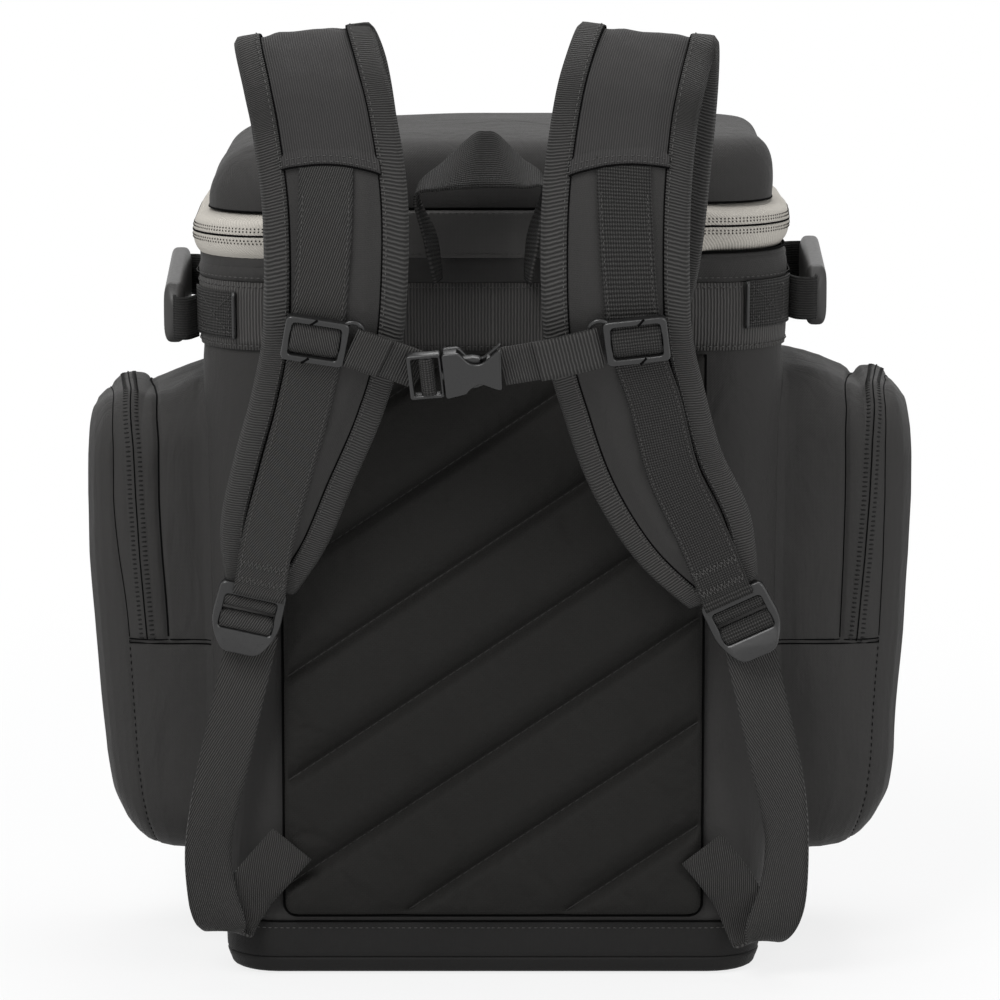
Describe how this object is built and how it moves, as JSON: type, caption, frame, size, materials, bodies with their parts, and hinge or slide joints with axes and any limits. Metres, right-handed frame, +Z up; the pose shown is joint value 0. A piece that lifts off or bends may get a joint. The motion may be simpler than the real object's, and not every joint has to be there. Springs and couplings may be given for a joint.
{
  "type": "racket backpack",
  "caption": "Upright racket backpack with a zipped hinged lid, zipped side pockets, padded back panel, padded shoulder straps, sternum buckle, side grips and a haul loop.",
  "frame": {"origin": "middle of the base, on the floor", "axes": "+X to the right as the picture shows it, +Y away from the wearer's back, +Z up"},
  "size_m": [0.4872, 0.3531, 0.567],
  "materials": {
    "fabric": "matt woven nylon, charcoal",
    "back_fabric": "matt embossed fabric, near black",
    "webbing": "ribbed webbing and coil zip, charcoal",
    "tape": "woven zip tape, pale warm grey",
    "plastic": "satin moulded plastic, near black",
    "rubber": "satin moulded rubber, dark grey",
    "sheet_plastic": "plain stiffening sheet"
  },
  "bodies": {
    "bag": {"side_panel_left": "fabric", "side_panel_right": "fabric", "back_lining": "fabric", "front_panel": "fabric", "base_boot": "fabric", "zip_collar": "fabric", "hinge_strip": "fabric", "pocket_left": "fabric", "pocket_right": "fabric", "shoulder_pad_left": "fabric", "shoulder_pad_right": "fabric", "back_pad": "back_fabric", "girth_webbing": "webbing", "zip_coil_lower": "webbing", "pocket_zip_left": "webbing", "grip_patch_rear_left": "webbing", "grip_patch_front_left": "webbing", "strap_webbing_left": "webbing", "lower_webbing_left": "webbing", "pocket_zip_right": "webbing", "grip_patch_rear_right": "webbing", "grip_patch_front_right": "webbing", "strap_webbing_right": "webbing", "lower_webbing_right": "webbing", "zip_tape_lower": "tape", "base_board": "sheet_plastic", "frame_sheet": "sheet_plastic"},
    "lid": {"lid_shell": "fabric", "zip_tape_upper": "tape", "lid_hinge_strip": "fabric", "zip_coil_upper": "webbing"},
    "haul_loop": {"haul_loop": "webbing"},
    "grip_left": {"grip_webbing_left": "webbing", "grip_cover_left": "rubber"},
    "grip_right": {"grip_webbing_right": "webbing", "grip_cover_right": "rubber"},
    "sternum": {"sternum_slider_left": "plastic", "sternum_slider_right": "plastic", "sternum_webbing_left": "webbing", "sternum_webbing_right": "webbing", "buckle_female": "plastic"},
    "buckle_male": {"buckle_male": "plastic"},
    "buckle_prong_upper": {"buckle_prong_upper": "plastic"},
    "buckle_prong_lower": {"buckle_prong_lower": "plastic"},
    "ladder_lock_left": {"ladder_lock_left": "plastic"},
    "ladder_lock_right": {"ladder_lock_right": "plastic"},
    "lid_slider_left": {"lid_slider_left": "plastic"},
    "lid_slider_left_pull": {"lid_slider_left_pull": "rubber"},
    "lid_slider_right": {"lid_slider_right": "plastic"},
    "lid_slider_right_pull": {"lid_slider_right_pull": "rubber"},
    "pocket_slider_left": {"pocket_slider_left": "plastic"},
    "pocket_slider_left_pull": {"pocket_slider_left_pull": "rubber"},
    "pocket_slider_right": {"pocket_slider_right": "plastic"},
    "pocket_slider_right_pull": {"pocket_slider_right_pull": "rubber"}
  },
  "joints": [
    {"name": "lid_hinge", "type": "hinge", "parent": "bag", "child": "lid", "pos_m": [0, -0.108, 0.443], "axis": [1, 0, 0], "range_deg": [0, 90]},
    {"name": "haul_loop_fold", "type": "hinge", "parent": "bag", "child": "haul_loop", "pos_m": [0, -0.1095, 0.4165], "axis": [1, 0, 0], "range_deg": [0, 70]},
    {"name": "grip_left_swing", "type": "hinge", "parent": "bag", "child": "grip_left", "pos_m": [-0.1755, 0, 0.3965], "axis": [0, 1, 0], "range_deg": [-25, 25]},
    {"name": "grip_right_swing", "type": "hinge", "parent": "bag", "child": "grip_right", "pos_m": [0.1755, 0, 0.3965], "axis": [0, -1, 0], "range_deg": [-25, 25]},
    {"name": "sternum_height", "type": "slide", "parent": "bag", "child": "sternum", "axis": [0, -0.3496, 0.9369], "range_m": [-0.02, 0.02]},
    {"name": "buckle_release", "type": "slide", "parent": "sternum", "child": "buckle_male", "axis": [-0.9954, 0.0335, -0.0898], "range_m": [0, 0.025]},
    {"name": "prong_upper_squeeze", "type": "hinge", "parent": "buckle_male", "child": "buckle_prong_upper", "pos_m": [-0.03082, -0.21961, 0.38335], "axis": [0, 0.9369, 0.3496], "range_deg": [0, 5.5], "stiffness_Nm_per_rad": 0.02},
    {"name": "prong_lower_squeeze", "type": "hinge", "parent": "buckle_male", "child": "buckle_prong_lower", "pos_m": [-0.02939, -0.21439, 0.36936], "axis": [0, -0.9369, -0.3496], "range_deg": [0, 5.5], "stiffness_Nm_per_rad": 0.02},
    {"name": "ladder_lock_left_lift", "type": "hinge", "parent": "bag", "child": "ladder_lock_left", "pos_m": [-0.13615, -0.13936, 0.23422], "axis": [-0.9711, -0.0689, 0.2284], "range_deg": [0, 30]},
    {"name": "ladder_lock_right_lift", "type": "hinge", "parent": "bag", "child": "ladder_lock_right", "pos_m": [0.13769, -0.13998, 0.23166], "axis": [-0.8939, 0.1134, -0.4338], "range_deg": [0, 30]},
    {"name": "lid_slider_left_travel", "type": "slide", "parent": "bag", "child": "lid_slider_left", "axis": [-1, 0, 0], "range_m": [0, 0.09]},
    {"name": "lid_slider_left_pull_lift", "type": "hinge", "parent": "lid_slider_left", "child": "lid_slider_left_pull", "pos_m": [-0.012, 0.1122, 0.443], "axis": [0, 0, -1], "range_deg": [0, 150]},
    {"name": "pocket_slider_left_travel", "type": "slide", "parent": "bag", "child": "pocket_slider_left", "axis": [0, 0, 1], "range_m": [0, 0.07]},
    {"name": "pocket_slider_left_pull_lift", "type": "hinge", "parent": "pocket_slider_left", "child": "pocket_slider_left_pull", "pos_m": [-0.20716, 0.08014, 0.222], "axis": [1, 0, 0], "range_deg": [0, 150]},
    {"name": "lid_slider_right_travel", "type": "slide", "parent": "bag", "child": "lid_slider_right", "axis": [1, 0, 0], "range_m": [0, 0.09]},
    {"name": "lid_slider_right_pull_lift", "type": "hinge", "parent": "lid_slider_right", "child": "lid_slider_right_pull", "pos_m": [0.012, 0.1122, 0.443], "axis": [0, 0, 1], "range_deg": [0, 150]},
    {"name": "pocket_slider_right_travel", "type": "slide", "parent": "bag", "child": "pocket_slider_right", "axis": [0, 0, 1], "range_m": [0, 0.07]},
    {"name": "pocket_slider_right_pull_lift", "type": "hinge", "parent": "pocket_slider_right", "child": "pocket_slider_right_pull", "pos_m": [0.20716, 0.08014, 0.222], "axis": [1, 0, 0], "range_deg": [0, 150]}
  ],
  "couplings": [
    {"joint": "haul_loop_fold", "follows": "lid_hinge", "ratio": 0.7},
    {"joint": "prong_lower_squeeze", "follows": "prong_upper_squeeze", "ratio": 1}
  ]
}
